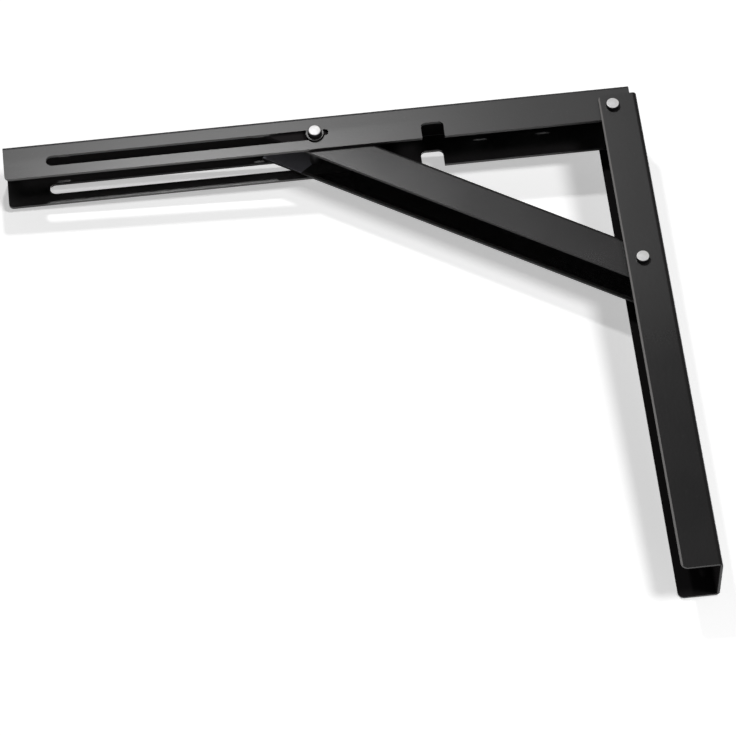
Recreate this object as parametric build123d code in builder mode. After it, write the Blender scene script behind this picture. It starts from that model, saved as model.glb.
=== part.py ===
"""Folding shelf bracket: a wall rail, a shelf arm and a strut, each a folded steel channel.

Frame: X=0 is the wall face and the arm reaches towards -X. +Z is up. Y=0 is the middle
plane of the three channels. The origin is the centre of the wall screw holes.
The arm stands at its locked, level position. All sizes are in millimetres.
"""

import os
from math import atan2, cos, hypot, sin

from build123d import *

# Sheet
sheet = 2.5
bend_inside_radius = 0.8
bend_outside_radius = bend_inside_radius + sheet

# Wall rail
rail_depth = 31.0
rail_above_pivot = 11.0
rail_below_pivot = 421.5
rail_corner_radius = 5.0
wall_hole_count = 4
wall_hole_pitch = 118.0
wall_hole_radius = 3.25
wall_hole_head_radius = 5.0
wall_hole_below_pivot = 50.0

# Shelf arm
arm_width = 41.0
arm_depth = 32.0
arm_reach = 484.5
arm_heel = 15.5
arm_heel_radius = 5.0
arm_tip_corner_radius = 4.0
arm_top_above_pivot = 21.0
notch_width = 18.0
notch_corner_radius = 4.0
shelf_slot_length = 13.5
shelf_slot_radius = 3.5
shelf_slot_first_reach = 59.0
shelf_slot_inner_pitch = 49.5
shelf_slot_outer_pitch = 155.0
shelf_slot_tip_inset = 47.5
shelf_slot_offset = 5.0

# Guide slot in both flanges of the arm, with a small lobe at its inner end
slot_above_pivot = 2.8
slot_tip_inset = 33.5
slot_end_beyond_slider = 8.0
lobe_radius = 3.0
lobe_rise = 1.4
lobe_beyond_slider = 11.0

# Strut
strut_pivot_drop = 147.3
strut_pivot_inset = 2.0
strut_web_side = 14.3
strut_open_side = 15.5
strut_tail = 40.0
relief_beyond_slider = 8.5

# Rivets and slider
slider_reach = 237.5
pin_radius = 4.0
head_radius = 5.3
head_height = 3.5
head_edge_radius = 0.8
slider_pin_radius = 4.7
slider_head_radius = 5.6
slider_head_height = 4.0
slider_head_crown = 1.6
washer_radius = 7.0
washer_thickness = 2.0
spacer_radius = 5.0

# Clearances
wall_clearance = 2.5
rail_side_clearance = 0.35
strut_side_clearance = 0.4
running_clearance = 0.06
slot_clearance = 0.15
stud_clearance = 0.1
seat_clearance = 0.05
notch_clearance = 0.5
notch_side_clearance = 1.0
web_clearance = 0.5

# Places that follow from the sizes above
wall_to_pivot = arm_heel + wall_clearance + sheet
pivot_height = wall_hole_below_pivot + wall_hole_pitch * (wall_hole_count - 1) / 2
pivot = Vector(-wall_to_pivot, 0, pivot_height)
strut_pivot = pivot + Vector(strut_pivot_inset, 0, -strut_pivot_drop)
slider = pivot + Vector(-slider_reach, 0, slot_above_pivot)
strut_length = hypot(strut_pivot.X - slider.X, slider.Z - strut_pivot.Z)
strut_rise = atan2(slider.Z - strut_pivot.Z, strut_pivot.X - slider.X)
strut_along = Vector(-cos(strut_rise), 0, sin(strut_rise))
strut_outward = Vector(-sin(strut_rise), 0, -cos(strut_rise))

arm_inside_width = arm_width - 2 * sheet
rail_inside_width = arm_width + 2 * rail_side_clearance
rail_width = rail_inside_width + 2 * sheet
strut_width = arm_inside_width - 2 * strut_side_clearance
strut_depth = strut_web_side + strut_open_side
through = rail_width

rail_top_z = pivot.Z + rail_above_pivot
rail_foot_z = pivot.Z - rail_below_pivot
arm_tip_x = pivot.X - arm_reach
arm_heel_x = pivot.X + arm_heel
slot_inner_x = slider.X + slot_end_beyond_slider
slot_outer_x = arm_tip_x + slot_tip_inset
shelf_slot_last_x = arm_tip_x + shelf_slot_tip_inset
shelf_slot_places = (
    pivot.X - shelf_slot_first_reach,
    pivot.X - shelf_slot_first_reach - shelf_slot_inner_pitch,
    shelf_slot_last_x + shelf_slot_outer_pitch,
    shelf_slot_last_x,
)
arm_top_z = pivot.Z + arm_top_above_pivot
arm_edge_z = arm_top_z - arm_depth

# Side planes, seen from the front flanges: whole bracket, each pin, and the strut's own
side = Plane(origin=(0, 0, 0), x_dir=(1, 0, 0), z_dir=(0, -1, 0))
pivot_side = Plane(origin=pivot, x_dir=(1, 0, 0), z_dir=(0, -1, 0))
strut_pivot_side = Plane(origin=strut_pivot, x_dir=(1, 0, 0), z_dir=(0, -1, 0))
slider_side = Plane(origin=slider, x_dir=(1, 0, 0), z_dir=(0, -1, 0))
strut_side = Plane(origin=strut_pivot, x_dir=strut_along, z_dir=(0, -1, 0))


def channel_section(plane, width, depth):
    """U section with the outside of its web on the plane's x axis, flanges towards -y."""
    with BuildSketch(plane) as section:
        with BuildSketch(Plane.XY, mode=Mode.PRIVATE) as inside:
            Rectangle(width - 2 * sheet, depth - sheet, align=(Align.CENTER, Align.MAX))
            fillet(inside.vertices().group_by(Axis.Y)[-1], bend_inside_radius)
        Rectangle(width, depth, align=(Align.CENTER, Align.MAX))
        fillet(section.vertices().group_by(Axis.Y)[-1], bend_outside_radius)
        with Locations((0, -sheet)):
            add(inside.sketch, mode=Mode.SUBTRACT)
    return section.sketch


os.makedirs("parts", exist_ok=True)

# Wall rail: channel with its web on the wall and its flanges round the arm and the strut
with BuildPart() as wall_rail:
    rail_base = Plane(origin=(0, 0, rail_foot_z), x_dir=(0, -1, 0), z_dir=(0, 0, 1))
    extrude(channel_section(rail_base, rail_width, rail_depth), amount=rail_top_z - rail_foot_z)
    with BuildSketch(side):
        with BuildSketch(Plane.XY, mode=Mode.PRIVATE) as rail_outline:
            with Locations((0, rail_foot_z)):
                Rectangle(rail_depth, rail_top_z - rail_foot_z, align=(Align.MAX, Align.MIN))
            fillet(rail_outline.vertices().group_by(Axis.X)[0], rail_corner_radius)
        with Locations((0, rail_foot_z)):
            Rectangle(2 * rail_depth, rail_top_z - rail_foot_z, align=(Align.MAX, Align.MIN))
        add(rail_outline.sketch, mode=Mode.SUBTRACT)
    extrude(amount=through, both=True, mode=Mode.SUBTRACT)
    with BuildSketch(side):
        with Locations((pivot.X, pivot.Z), (strut_pivot.X, strut_pivot.Z)):
            Circle(pin_radius + running_clearance)
    extrude(amount=through, both=True, mode=Mode.SUBTRACT)
    with Locations(Plane(origin=(-sheet, 0, 0), x_dir=(0, 1, 0), z_dir=(-1, 0, 0))):
        with GridLocations(1, wall_hole_pitch, 1, wall_hole_count):
            CounterSinkHole(wall_hole_radius, wall_hole_head_radius, sheet, 90)
wall_rail.part.label = "wall_rail"
export_step(wall_rail.part, "parts/wall_rail.step")

# Shelf arm: channel with its web on top, guide slots, spacer notches and shelf screw slots
with BuildPart() as shelf_arm:
    arm_base = Plane(origin=(arm_tip_x, 0, arm_top_z), x_dir=(0, 1, 0), z_dir=(1, 0, 0))
    arm_length = arm_heel_x - arm_tip_x
    extrude(channel_section(arm_base, arm_width, arm_depth), amount=arm_length)
    with BuildSketch(side):
        with BuildSketch(Plane.XY, mode=Mode.PRIVATE) as arm_outline:
            with Locations((arm_tip_x, arm_top_z)):
                Rectangle(arm_length, arm_depth, align=(Align.MIN, Align.MAX))
            lower_corners = arm_outline.vertices().group_by(Axis.Y)[0].sort_by(Axis.X)
            fillet(lower_corners[0], arm_tip_corner_radius)
            lower_corners = arm_outline.vertices().group_by(Axis.Y)[0].sort_by(Axis.X)
            fillet(lower_corners[-1], arm_heel_radius)
        with Locations((arm_tip_x, arm_top_z)):
            Rectangle(arm_length, 2 * arm_depth, align=(Align.MIN, Align.MAX))
        add(arm_outline.sketch, mode=Mode.SUBTRACT)
    extrude(amount=through, both=True, mode=Mode.SUBTRACT)
    slot_radius = slider_pin_radius + slot_clearance
    with BuildSketch(side):
        with Locations((pivot.X, pivot.Z)):
            Circle(pin_radius + running_clearance)
        with Locations(((slot_inner_x + slot_outer_x) / 2, slider.Z)):
            SlotOverall(slot_inner_x - slot_outer_x, 2 * slot_radius)
        with Locations((slider.X + lobe_beyond_slider, slider.Z + lobe_rise)):
            SlotOverall(4 * lobe_radius, 2 * lobe_radius, align=(Align.MAX, Align.CENTER))
    extrude(amount=through, both=True, mode=Mode.SUBTRACT)
    notch_top_z = pivot.Z - strut_pivot_inset + spacer_radius + notch_clearance
    notch_outer_x = pivot.X - strut_pivot_drop - spacer_radius - notch_side_clearance
    with BuildSketch(side) as notch:
        with Locations((notch_outer_x, arm_edge_z)):
            Rectangle(
                notch_width,
                2 * (notch_top_z - arm_edge_z),
                align=(Align.MIN, Align.CENTER),
            )
        fillet(notch.vertices().group_by(Axis.Y)[-1], notch_corner_radius)
    extrude(amount=through, both=True, mode=Mode.SUBTRACT)
    with BuildSketch(Plane.XY.offset(arm_top_z)):
        for place in shelf_slot_places:
            with Locations((place, -shelf_slot_offset)):
                SlotOverall(shelf_slot_length, 2 * shelf_slot_radius)
    extrude(amount=-2 * sheet, mode=Mode.SUBTRACT)
shelf_arm.part.label = "shelf_arm"
export_step(shelf_arm.part, "parts/shelf_arm.step")

# Strut: channel with its web towards the arm, a round nose and two long ears
with BuildPart() as strut:
    nose_radius = strut_open_side
    strut_origin = strut_pivot - strut_along * nose_radius - strut_outward * strut_web_side
    strut_base = Plane(origin=strut_origin, x_dir=strut_along.cross(strut_outward), z_dir=strut_along)
    strut_section = channel_section(strut_base, strut_width, strut_depth)
    extrude(strut_section, amount=nose_radius + strut_length + strut_tail)
    # Round nose about the strut's pivot
    with BuildSketch(strut_side):
        with Locations((-2 * nose_radius, 0)):
            Rectangle(2 * nose_radius, 3 * strut_depth, align=(Align.MIN, Align.CENTER))
        Rectangle(2 * nose_radius, 3 * strut_depth, align=(Align.MAX, Align.CENTER))
        Circle(nose_radius, mode=Mode.SUBTRACT)
    extrude(amount=through, both=True, mode=Mode.SUBTRACT)
    # Round relief in the web between the ears
    relief_radius = strut_width / 2 - bend_outside_radius
    web_plane = Plane(
        origin=slider - strut_outward * strut_web_side,
        x_dir=strut_along,
        z_dir=strut_outward,
    )
    with BuildSketch(web_plane):
        with Locations((relief_beyond_slider, 0)):
            Circle(relief_radius)
            Rectangle(2 * strut_tail, 2 * relief_radius, align=(Align.MIN, Align.CENTER))
    extrude(amount=2 * sheet, mode=Mode.SUBTRACT)
    # Ears cut level with the underside of the arm's web
    with BuildSketch(side):
        with Locations((slider.X, arm_top_z - sheet - web_clearance)):
            Rectangle(4 * strut_tail, 4 * strut_tail, align=(Align.CENTER, Align.MIN))
    extrude(amount=through, both=True, mode=Mode.SUBTRACT)
    with BuildSketch(side):
        with Locations((strut_pivot.X, strut_pivot.Z)):
            Circle(pin_radius + running_clearance)
        with Locations((slider.X, slider.Z)):
            Circle(slider_pin_radius + running_clearance)
    extrude(amount=through, both=True, mode=Mode.SUBTRACT)
strut.part.label = "strut"
export_step(strut.part, "parts/strut.step")

# Rivet through the rail's and the arm's flanges
with BuildPart() as arm_pivot_pin:
    with BuildSketch(pivot_side):
        Circle(pin_radius)
    extrude(amount=rail_width / 2 + seat_clearance, both=True)
    with BuildSketch(pivot_side.offset(rail_width / 2 + seat_clearance)):
        Circle(head_radius)
    extrude(amount=head_height)
    with BuildSketch(pivot_side.offset(-rail_width / 2 - seat_clearance)):
        Circle(head_radius)
    extrude(amount=-head_height)
    rims = arm_pivot_pin.edges().filter_by(GeomType.CIRCLE).sort_by(Axis.Y)
    fillet([rims[0], rims[-1]], head_edge_radius)
arm_pivot_pin.part.label = "arm_pivot_pin"
export_step(arm_pivot_pin.part, "parts/arm_pivot_pin.step")

# Rivet through the rail's flanges and the strut's ears
with BuildPart() as strut_pivot_pin:
    add(arm_pivot_pin.part.translate(strut_pivot - pivot))
strut_pivot_pin.part.label = "strut_pivot_pin"
export_step(strut_pivot_pin.part, "parts/strut_pivot_pin.step")

# Spacer rings on that rivet, between the strut's ears and the rail's flanges
with BuildPart() as strut_spacer_front:
    with BuildSketch(strut_pivot_side.offset(strut_width / 2 + seat_clearance)):
        Circle(spacer_radius)
        Circle(pin_radius + running_clearance, mode=Mode.SUBTRACT)
    extrude(amount=rail_inside_width / 2 - strut_width / 2 - 2 * seat_clearance)
strut_spacer_front.part.label = "strut_spacer_front"
export_step(strut_spacer_front.part, "parts/strut_spacer_front.step")

with BuildPart() as strut_spacer_rear:
    add(strut_spacer_front.part.mirror(Plane.XZ))
strut_spacer_rear.part.label = "strut_spacer_rear"
export_step(strut_spacer_rear.part, "parts/strut_spacer_rear.step")

# Slider shaft across the strut's ears
with BuildPart() as slider_shaft:
    with BuildSketch(slider_side):
        Circle(slider_pin_radius)
    extrude(amount=strut_width / 2, both=True)
slider_shaft.part.label = "slider_shaft"
export_step(slider_shaft.part, "parts/slider_shaft.step")

# Slider pins: a shank in the arm's slot and a domed head outside it, one on each side
with BuildPart() as slider_pin_front:
    shank_start = strut_width / 2 + stud_clearance
    head_start = arm_width / 2 + washer_thickness + 2 * seat_clearance
    with BuildSketch(slider_side.offset(shank_start)):
        Circle(slider_pin_radius)
    extrude(amount=head_start - shank_start)
    with BuildSketch(slider_side.offset(head_start)):
        Circle(slider_head_radius)
    extrude(amount=slider_head_height)
    dome_rim = slider_pin_front.edges().filter_by(GeomType.CIRCLE).sort_by(Axis.Y)[0]
    fillet(dome_rim, slider_head_crown)
slider_pin_front.part.label = "slider_pin_front"
export_step(slider_pin_front.part, "parts/slider_pin_front.step")

with BuildPart() as slider_pin_rear:
    add(slider_pin_front.part.mirror(Plane.XZ))
slider_pin_rear.part.label = "slider_pin_rear"
export_step(slider_pin_rear.part, "parts/slider_pin_rear.step")

# Slider washers between the pins' heads and the arm's flanges
with BuildPart() as slider_washer_front:
    with BuildSketch(slider_side.offset(arm_width / 2 + seat_clearance)):
        Circle(washer_radius)
        Circle(slider_pin_radius + running_clearance, mode=Mode.SUBTRACT)
    extrude(amount=washer_thickness)
slider_washer_front.part.label = "slider_washer_front"
export_step(slider_washer_front.part, "parts/slider_washer_front.step")

with BuildPart() as slider_washer_rear:
    add(slider_washer_front.part.mirror(Plane.XZ))
slider_washer_rear.part.label = "slider_washer_rear"
export_step(slider_washer_rear.part, "parts/slider_washer_rear.step")
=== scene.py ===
"""Folding shelf bracket in black powder coat, lying on its side on a white table.

The row frame is in metres: the wall face is X=0, the arm reaches towards -X and +Z is up.
"""

import math

import bmesh
import bpy
from mathutils import Matrix, Vector


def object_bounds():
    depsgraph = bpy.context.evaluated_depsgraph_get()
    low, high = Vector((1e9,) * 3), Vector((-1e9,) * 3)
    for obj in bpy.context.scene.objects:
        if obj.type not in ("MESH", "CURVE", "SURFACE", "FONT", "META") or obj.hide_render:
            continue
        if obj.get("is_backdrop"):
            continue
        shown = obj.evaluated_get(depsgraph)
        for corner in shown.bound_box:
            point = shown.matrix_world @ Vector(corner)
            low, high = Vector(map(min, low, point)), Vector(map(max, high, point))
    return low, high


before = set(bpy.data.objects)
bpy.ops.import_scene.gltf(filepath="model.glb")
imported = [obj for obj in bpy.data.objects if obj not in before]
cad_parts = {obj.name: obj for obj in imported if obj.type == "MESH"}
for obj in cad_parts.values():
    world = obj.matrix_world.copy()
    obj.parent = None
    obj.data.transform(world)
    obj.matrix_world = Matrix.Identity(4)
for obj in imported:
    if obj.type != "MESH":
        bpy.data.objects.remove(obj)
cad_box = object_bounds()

# Pins
PIVOT = Vector((-0.0205, 0.0, 0.227))
STRUT_PIVOT = PIVOT + Vector((0.002, 0.0, -0.1473))
SLIDER = PIVOT + Vector((-0.2375, 0.0, 0.0028))
# Radius beyond which the sides of the pin heads are painted dark as shade, and the width of its
# blend
HEAD_SHADE_RADIUS = 0.0046
HEAD_SHADE_BLEND = 0.0004

# Borders of the finishes, the painted shade and the painted highlight on the rail, each a pair
# between which one fades into the other
RAIL_FLANGE_SHEET = (0.0214, 0.0218)
RAIL_SIDE_SHEET = (0.0220, 0.0224)
RAIL_FRONT_SHEET = (-0.0219, -0.0215)
RAIL_WEB_SHEET = (-0.0022, -0.0015)
RAIL_FOLD = (-0.0032, -0.0016)
RAIL_FREE_EDGE = (-0.0300, -0.0294)
RAIL_DULLER_UPWARDS = (-0.10, PIVOT.z + 0.02)

# The same on the arm
ARM_INNER_FACE = (0.0174, 0.0178)
ARM_SIDE_SHEET = (0.0194, 0.0198)
ARM_UNDER_WEB = (0.2440, 0.2446)
ARM_WEB_SHEET = (0.2460, 0.2470)
ARM_FOLD = (0.2464, 0.2472)
ARM_ABOVE_SLOT = (SLIDER.z - 0.004, SLIDER.z + 0.006)
ARM_TOWARDS_PIVOT = (SLIDER.x, PIVOT.x - 0.04)

# The same on the strut, partly as the distance outwards from its centre line
STRUT_OUTWARD = (-0.531048, 0.0, -0.847342)
STRUT_FRONT_SHEET = (-0.0155, -0.0150)
STRUT_REAR_HALF = (0.0, 0.001)
STRUT_IN_ARM = (PIVOT.z - 0.012, PIVOT.z - 0.008)
STRUT_EARS = (SLIDER.x + 0.03, SLIDER.x + 0.02)
STRUT_LENGTH = (SLIDER.x + 0.03, STRUT_PIVOT.x)
STRUT_RIM = (0.0130, 0.0137)
STRUT_FREE_EDGE = (0.01540, 0.01546)
EAR_FACE_FRONT = (0.0146, 0.0149)
EAR_FACE_BACK = (0.0152, 0.0155)
# Where the painted patch of light on the rear ear's inner face begins
LIGHT_PATCH_PLACE = (-0.2626, 0.0, 0.2256)
LIGHT_PATCH_WAY = (-0.603, 0.0, 0.7976)
LIGHT_PATCH_BORDER = (-0.0002, 0.0006)

# Colours
COAT_DEEP = (0.0105, 0.0098, 0.0101)
COAT_PALE = (0.0150, 0.0140, 0.0142)
DUST = (0.055, 0.053, 0.052, 1.0)
# Painted shade: dull black for recesses and folds
PAINTED_SHADE_BLACK = (0.020, 0.0186, 0.0192, 1.0)
# Painted highlight on the rail's free edge
PAINTED_EDGE_HIGHLIGHT = (0.17, 0.163, 0.16, 1.0)
# Painted highlight on the strut's rear rim
PAINTED_RIM_HIGHLIGHT = (0.085, 0.081, 0.079, 1.0)
# Painted light patch inside the strut's rear ear
PAINTED_LIGHT_PATCH = (0.46, 0.46, 0.52, 1.0)
# Painted shade on the sides of the pin heads
PAINTED_HEAD_SHADE = (0.02, 0.02, 0.021, 1.0)
WHITE = (1.0, 1.0, 1.0, 1.0)

# Table, which the bracket leans on by the arm's tip and the rail's foot
TABLE_BEHIND_PIVOT = 0.0429
TABLE_RISE_X = 0.0333
TABLE_RISE_Z = 0.045
TABLE_HALF_WIDTH = 3.0
TABLE_COLOUR = (0.9, 0.9, 0.9, 1.0)
TABLE_GLOW = 0.54
TABLE_GLOW_IN_METAL = 0.02
# Painted light on the table: its glow is weaker near the bracket and full white further off, where
# the lamps fall off
GLOW_NEAR = (0.80, 0.80, 0.80, 1.0)
GLOW_PLACE = (-0.2, 0.0, 0.1)
GLOW_WAY = (-0.6, 0.0, -0.8)
GLOW_BORDER = (0.05, 0.25)
ROOM_LIGHT = 0.09


def plain(value):
    """Numbers of a box as plain lists."""
    if isinstance(value, (int, float)):
        return float(value)
    return [plain(v) for v in value]


class Field:
    """One socket of a material, used in ordinary arithmetic."""

    def __init__(self, paint, socket):
        self.paint = paint
        self.socket = socket

    def _with(self, operation, other, flipped=False):
        first, second = (other, self) if flipped else (self, other)
        return self.paint.node("ShaderNodeMath", {"operation": operation}, {0: first, 1: second})

    def __add__(self, other):
        return self._with("ADD", other)

    def __radd__(self, other):
        return self._with("ADD", other, True)

    def __sub__(self, other):
        return self._with("SUBTRACT", other)

    def __rsub__(self, other):
        return self._with("SUBTRACT", other, True)

    def __mul__(self, other):
        return self._with("MULTIPLY", other)

    def __rmul__(self, other):
        return self._with("MULTIPLY", other, True)


class Paint:
    """The nodes of a material or a world, and the one way they are made."""

    def __init__(self, owner):
        owner.use_nodes = True
        self.owner = owner
        self.tree = owner.node_tree
        self.tree.nodes.clear()
        self.object_coordinates = None

    def node(self, kind, settings=None, inputs=None, output=0):
        """Adds a node: its settings first, then the values or links of its sockets."""
        item = self.tree.nodes.new(kind)
        for key, value in (settings or {}).items():
            setattr(item, key, value)
        for key, value in (inputs or {}).items():
            if isinstance(value, Field):
                self.tree.links.new(value.socket, item.inputs[key])
            else:
                item.inputs[key].default_value = value
        return Field(self, item.outputs[output]) if item.outputs else None

    def place(self, centre=(0, 0, 0), scale=(1, 1, 1)):
        """Object coordinates, moved so that centre is the middle of the pattern."""
        if self.object_coordinates is None:
            self.object_coordinates = self.node("ShaderNodeTexCoord", output="Object")
        moved = self.vector("SUBTRACT", self.object_coordinates, centre)
        return self.vector("MULTIPLY", moved, scale)

    def vector(self, operation, first, second, output=0):
        return self.node(
            "ShaderNodeVectorMath", {"operation": operation}, {0: first, 1: second}, output
        )

    def math(self, operation, first, second=0.0):
        return self.node("ShaderNodeMath", {"operation": operation}, {0: first, 1: second})

    def axis(self, letter):
        """One coordinate of the surface point, in metres."""
        return self.node("ShaderNodeSeparateXYZ", {}, {0: self.place()}, output=letter)

    def size(self, letter):
        """One coordinate without its sign."""
        return self.math("ABSOLUTE", self.axis(letter))

    def along(self, centre, direction):
        """Distance from centre along a direction."""
        return self.vector("DOT_PRODUCT", self.place(centre), direction, "Value")

    def noise(self, at, scale, detail=2.0, rough=0.5):
        return self.node(
            "ShaderNodeTexNoise",
            {"noise_dimensions": "3D"},
            {"Vector": at, "Scale": scale, "Detail": detail, "Roughness": rough},
        )

    def between(self, value, border, start=0.0, end=1.0):
        """Fades from start to end while value crosses the border's two numbers."""
        return self.node(
            "ShaderNodeMapRange",
            {"interpolation_type": "SMOOTHSTEP", "clamp": True},
            {
                "Value": value,
                "From Min": border[0],
                "From Max": border[1],
                "To Min": start,
                "To Max": end,
            },
        )

    def below(self, value, border):
        """1 below the border and 0 above it."""
        return self.between(value, border, 1.0, 0.0)

    def mix(self, factor, first, second):
        return self.node(
            "ShaderNodeMix",
            {"data_type": "RGBA"},
            {"Factor": factor, 6: first, 7: second},
            output=2,
        )

    def bump(self, height, depth, normal=None):
        inputs = {"Height": height, "Distance": depth, "Strength": 1.0}
        if normal:
            inputs["Normal"] = normal
        return self.node("ShaderNodeBump", {}, inputs)

    def surface(self, **inputs):
        """The main shader, with its sockets' names written with underscores."""
        named = {name.replace("_", " "): value for name, value in inputs.items()}
        return self.node("ShaderNodeBsdfPrincipled", {}, named)

    def close(self, shader, kind="ShaderNodeOutputMaterial"):
        self.node(kind, {}, {"Surface": shader})
        return self.owner


def new_paint(name):
    return Paint(bpy.data.materials.new(name))


def powder_coat(name, seed, worn=None, painted_light=None, painted_shade=None, depth=1.0):
    """Black semi-gloss powder coat: fine orange peel, soft cloudiness and a few dust specks.

    worn gives the extra roughness of dull places; the argument after it gives pairs of a mask and a
    colour for painted highlights and painted light, and the next the mask of places painted as
    shade with a dull black sheet. depth scales the colour."""
    paint = new_paint(name)
    at = paint.place(centre=(seed, 0.0, 0.0))
    cloud = paint.noise(at, 9.0, 3.0, 0.55)
    peel = paint.noise(at, 620.0)
    grain = paint.noise(at, 2600.0, rough=0.6)
    speck = paint.between(paint.noise(at, 420.0, 1.0, 0.4), (0.745, 0.775))
    deep, pale = ([part * depth for part in tone] + [1.0] for tone in (COAT_DEEP, COAT_PALE))
    tone = paint.mix(paint.between(cloud, (0.35, 0.68)), deep, pale)
    tone = paint.mix(speck * 0.35, tone, DUST)
    roughness = 0.28 + 0.06 * cloud + 0.04 * grain
    if worn:
        roughness = roughness + worn(paint)
    # Painted highlights and painted light patches: lighter colours, with a rougher coat
    for mask, colour in painted_light(paint) if painted_light else ():
        tone = paint.mix(mask, tone, colour)
        roughness = roughness + 0.35 * mask
    skin = paint.bump(peel, 0.000035)
    skin = paint.bump(grain, 0.000012, skin)
    coat = paint.surface(
        Base_Color=tone,
        Roughness=roughness,
        Normal=skin,
        IOR=1.6,
        Specular_IOR_Level=1.0,
    )
    # Painted shade: a dull black sheet replaces the coat where the mask says
    if painted_shade:
        dull = paint.surface(Base_Color=PAINTED_SHADE_BLACK, Roughness=1.0, Specular_IOR_Level=0.0)
        coat = paint.node("ShaderNodeMixShader", {}, {0: painted_shade(paint), 1: coat, 2: dull})
    return paint.close(coat)


def turned_steel(name, centre, tone=0.94, edge=None):
    """Bright plated steel, turned about the pin's axis: fine rings, a few scratches.

    Beyond the radius edge the side of the head is painted dark as shade."""
    paint = new_paint(name)
    at = paint.place(centre)
    flat = paint.vector("MULTIPLY", at, (1, 0, 1))
    radius = paint.node("ShaderNodeVectorMath", {"operation": "LENGTH"}, {0: flat}, output="Value")
    wobble = paint.noise(at, 300.0)
    ring_width = 0.00045
    rings = paint.math("SINE", radius * (2 * math.pi / ring_width) + wobble * 3.0)
    haze = paint.noise(at, 140.0, 4.0, 0.6)
    scratch = paint.noise(paint.place(centre, (1, 1, 9)), 260.0, 3.0, 0.7)
    scratch = paint.between(scratch, (0.62, 0.70))
    colour = paint.mix(
        paint.between(haze, (0.35, 0.7)),
        (tone, tone, tone * 1.01, 1.0),
        (tone * 0.86, tone * 0.85, tone * 0.84, 1.0),
    )
    # Painted shade on the side of the head, beyond the radius edge
    if edge:
        shaded_side = paint.between(radius, (edge, edge + HEAD_SHADE_BLEND))
        colour = paint.mix(shaded_side, colour, PAINTED_HEAD_SHADE)
    roughness = 0.38 + 0.10 * haze + 0.10 * scratch
    skin = paint.bump(rings, 0.000006)
    skin = paint.bump(scratch, 0.00001, skin)
    return paint.close(
        paint.surface(Base_Color=colour, Roughness=roughness, Metallic=0.4, Normal=skin)
    )


# Finishes of the pieces, with their painted shade and painted light
def rail_wear(paint):
    """Duller towards the arm's pivot."""
    return paint.between(paint.axis("Z"), RAIL_DULLER_UPWARDS, -0.10, 0.08)


def rail_painted_highlight(paint):
    """Painted highlight: a lighter band along the front flange's free edge, where the edge catches
    the light, with a rougher coat.
    """
    edge = paint.below(paint.axis("X"), RAIL_FREE_EDGE)
    front = paint.below(paint.axis("Y"), RAIL_FRONT_SHEET)
    return ((edge * front, PAINTED_EDGE_HIGHLIGHT),)


def rail_painted_shade(paint):
    """Painted shade: dull black between the flanges, and along the fold where it turns from the
    light.
    """
    inside = paint.below(paint.size("Y"), RAIL_FLANGE_SHEET)
    inside = inside * paint.below(paint.axis("X"), RAIL_WEB_SHEET)
    fold = paint.between(paint.size("Y"), RAIL_SIDE_SHEET)
    fold = fold * paint.between(paint.axis("X"), RAIL_FOLD)
    return inside + fold


def arm_wear(paint):
    """Duller above the guide slots and towards the pivot."""
    upper = paint.between(paint.axis("Z"), ARM_ABOVE_SLOT, 0.0, 0.10)
    inner = paint.between(paint.axis("X"), ARM_TOWARDS_PIVOT, 0.0, 0.20)
    return paint.math("MAXIMUM", upper, inner)


def arm_painted_shade(paint):
    """Painted shade: dull black under the web, and along the fold where it turns from the light."""
    inside = paint.below(paint.size("Y"), ARM_INNER_FACE)
    inside = inside * paint.between(paint.axis("Z"), ARM_UNDER_WEB)
    inside = inside * paint.below(paint.axis("Z"), ARM_WEB_SHEET)
    fold = paint.between(paint.size("Y"), ARM_SIDE_SHEET)
    fold = fold * paint.between(paint.axis("Z"), ARM_FOLD)
    return inside + fold


def strut_wear(paint):
    """Smoother towards the slider, dull where the ears run inside the arm and on the free edges."""
    length = paint.between(paint.axis("X"), STRUT_LENGTH, -0.10, -0.065)
    high = paint.between(paint.axis("Z"), STRUT_IN_ARM)
    outer = paint.between(paint.axis("X"), STRUT_EARS)
    free_edge = paint.between(paint.along(STRUT_PIVOT, STRUT_OUTWARD), STRUT_FREE_EDGE)
    return length + high * outer * 0.5 + free_edge * 0.5


def strut_painted_light(paint):
    """Painted highlight along the rear free edge, and a painted patch of light inside the rear ear
    by the slider.
    """
    outward = paint.along(STRUT_PIVOT, STRUT_OUTWARD)
    across = paint.axis("Y")
    # Painted highlight: a lighter band near the rear flange's free edge
    rim = paint.between(outward, STRUT_RIM) * paint.below(outward, STRUT_FREE_EDGE)
    rim = rim * paint.between(across, STRUT_REAR_HALF)
    ear = paint.between(across, EAR_FACE_FRONT) * paint.below(across, EAR_FACE_BACK)
    # Painted light: a pale patch on the rear ear's inner face, by the slider
    light_patch = ear * paint.between(paint.along(LIGHT_PATCH_PLACE, LIGHT_PATCH_WAY), LIGHT_PATCH_BORDER)
    return (rim, PAINTED_RIM_HIGHLIGHT), (light_patch, PAINTED_LIGHT_PATCH)


def strut_painted_shade(paint):
    """Painted shade: dull black on the front ear behind the guide slot, where the arm's flange
    shades it.
    """
    front = paint.below(paint.axis("Y"), STRUT_FRONT_SHEET)
    return front * paint.between(paint.axis("Z"), STRUT_IN_ARM)


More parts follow.
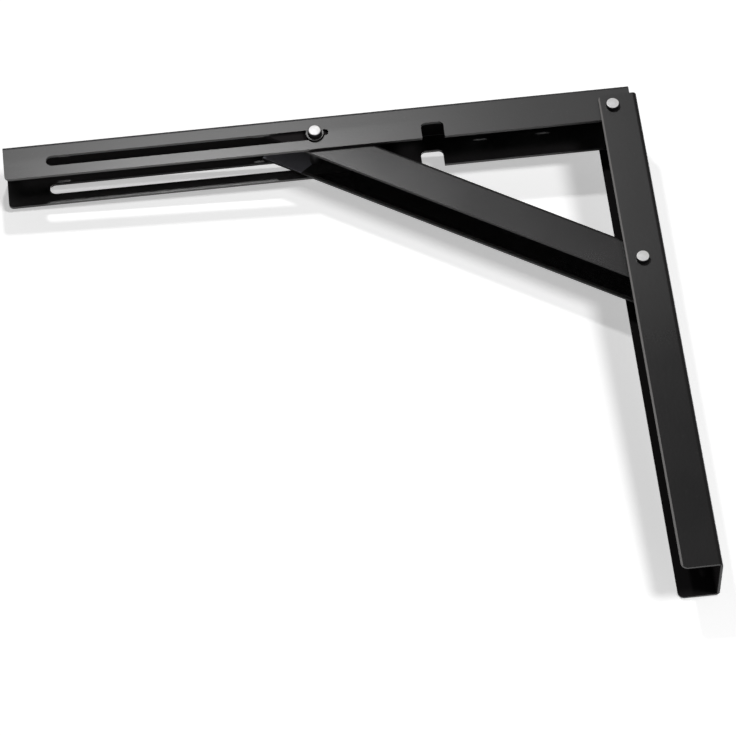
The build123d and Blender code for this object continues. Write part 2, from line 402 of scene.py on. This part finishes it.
spacer_steel = turned_steel("spacer_steel", STRUT_PIVOT, tone=0.62)
slider_steel = turned_steel("slider_steel", SLIDER, edge=HEAD_SHADE_RADIUS)
slider_coat = powder_coat("slider_washer_coat", 3.61)
finishes = {
    "wall_rail": powder_coat("rail_powder_coat", 0.31, rail_wear, rail_painted_highlight, rail_painted_shade, 0.75),
    "shelf_arm": powder_coat("arm_powder_coat", 1.17, arm_wear, painted_shade=arm_painted_shade),
    "strut": powder_coat("strut_powder_coat", 2.43, strut_wear, strut_painted_light, strut_painted_shade),
    "arm_pivot_pin": turned_steel("arm_rivet_steel", PIVOT, edge=HEAD_SHADE_RADIUS),
    "strut_pivot_pin": turned_steel("strut_rivet_steel", STRUT_PIVOT, edge=HEAD_SHADE_RADIUS),
    "strut_spacer_front": spacer_steel,
    "strut_spacer_rear": spacer_steel,
    "slider_pin_front": slider_steel,
    "slider_pin_rear": slider_steel,
    "slider_shaft": slider_coat,
    "slider_washer_front": slider_coat,
    "slider_washer_rear": slider_coat,
}
for piece, finish in finishes.items():
    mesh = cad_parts[piece].data
    mesh.materials.clear()
    mesh.materials.append(finish)

# Table behind the bracket: white to the camera, clear from behind and to the back light
paint = new_paint("white_table")
to_camera = paint.node("ShaderNodeLightPath", output="Is Camera Ray")
to_metal = paint.node("ShaderNodeLightPath", output="Is Glossy Ray")
from_behind = paint.node("ShaderNodeNewGeometry", output="Backfacing")
to_lamp = paint.node("ShaderNodeLightPath", output="Is Shadow Ray")
# Painted light: the table's glow grows to full white away from the bracket
far = paint.between(paint.along(GLOW_PLACE, GLOW_WAY), GLOW_BORDER)
sheet = paint.node("ShaderNodeBsdfDiffuse", {}, {"Color": TABLE_COLOUR, "Roughness": 0.0})
glow = paint.node(
    "ShaderNodeEmission",
    {},
    {
        "Color": paint.mix(far, GLOW_NEAR, WHITE),
        "Strength": TABLE_GLOW * to_camera + TABLE_GLOW_IN_METAL * to_metal,
    },
)
front = paint.node("ShaderNodeAddShader", {}, {0: sheet, 1: glow})
clear = paint.node("ShaderNodeBsdfTransparent", {}, {"Color": WHITE})
see_through = paint.math("MAXIMUM", from_behind, to_lamp)
whole = paint.node("ShaderNodeMixShader", {}, {0: see_through, 1: front, 2: clear})
table_finish = paint.close(whole)

bm = bmesh.new()
bmesh.ops.create_grid(bm, x_segments=1, y_segments=1, size=TABLE_HALF_WIDTH)
bmesh.ops.rotate(bm, verts=bm.verts, cent=(0, 0, 0), matrix=Matrix.Rotation(math.pi / 2, 3, "X"))
for v in bm.verts:
    rise = TABLE_RISE_X * (v.co.x - PIVOT.x) + TABLE_RISE_Z * (v.co.z - PIVOT.z)
    v.co.y = TABLE_BEHIND_PIVOT + rise
mesh = bpy.data.meshes.new("table_top")
bm.to_mesh(mesh)
bm.free()
mesh.materials.append(table_finish)
table_top = bpy.data.objects.new("table_top", mesh)
bpy.context.scene.collection.objects.link(table_top)
table_top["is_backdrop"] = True

# Surroundings: white to the camera, dim to everything else
world = bpy.data.worlds.new("studio")
bpy.context.scene.world = world
paint = Paint(world)
to_camera = paint.node("ShaderNodeLightPath", output="Is Camera Ray")
strength = paint.node(
    "ShaderNodeMapRange", {}, {"Value": to_camera, "To Min": ROOM_LIGHT, "To Max": 1.0}
)
shade = paint.node("ShaderNodeBackground", {}, {"Color": WHITE, "Strength": strength})
paint.close(shade, "ShaderNodeOutputWorld")


def soft_light(name, place, target, size, power):
    """A round lamp that looks at its target."""
    lamp = bpy.data.lights.new(name, "AREA")
    lamp.shape = "DISK"
    lamp.size = size
    lamp.energy = power
    item = bpy.data.objects.new(name, lamp)
    item.location = place
    item.rotation_euler = (Vector(target) - Vector(place)).to_track_quat("-Z", "Y").to_euler()
    bpy.context.scene.collection.objects.link(item)
    return item


soft_light(
    "key_light",
    place=(-0.346, -1.2, 0.774),
    target=(-0.28, 0.0, 0.15),
    size=0.09,
    power=4.9,
)
right_light = soft_light(
    "right_light",
    place=(1.0, -2.4, -0.30),
    target=(0.0, 0.0, 0.0),
    size=0.65,
    power=34.0,
)
right_light.visible_glossy = False
soft_light(
    "back_light",
    place=(0.6, 1.6, 0.9),
    target=(-0.2, 0.0, 0.05),
    size=0.8,
    power=20.0,
)

# Camera at the photograph's angle, from the front and below
camera = bpy.data.cameras.new("photo_camera")
camera.sensor_width = 36.0
camera.lens = 180.05
camera.clip_end = 50.0
right = Vector((0.99381, 0.01755, -0.10971)).normalized()
forward = Vector((0.04375, 0.84584, 0.53164)).normalized()
up = right.cross(forward).normalized()
right = forward.cross(up).normalized()
turn = Matrix((right, up, -forward)).transposed().to_4x4()
view = bpy.data.objects.new("photo_camera", camera)
view.matrix_world = Matrix.Translation((-0.3625, -2.3869, -1.4799)) @ turn
bpy.context.scene.collection.objects.link(view)
bpy.context.scene.camera = view
bpy.context.scene.view_settings.view_transform = "Standard"

{"cad": plain(cad_box), "visual": plain(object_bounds())}
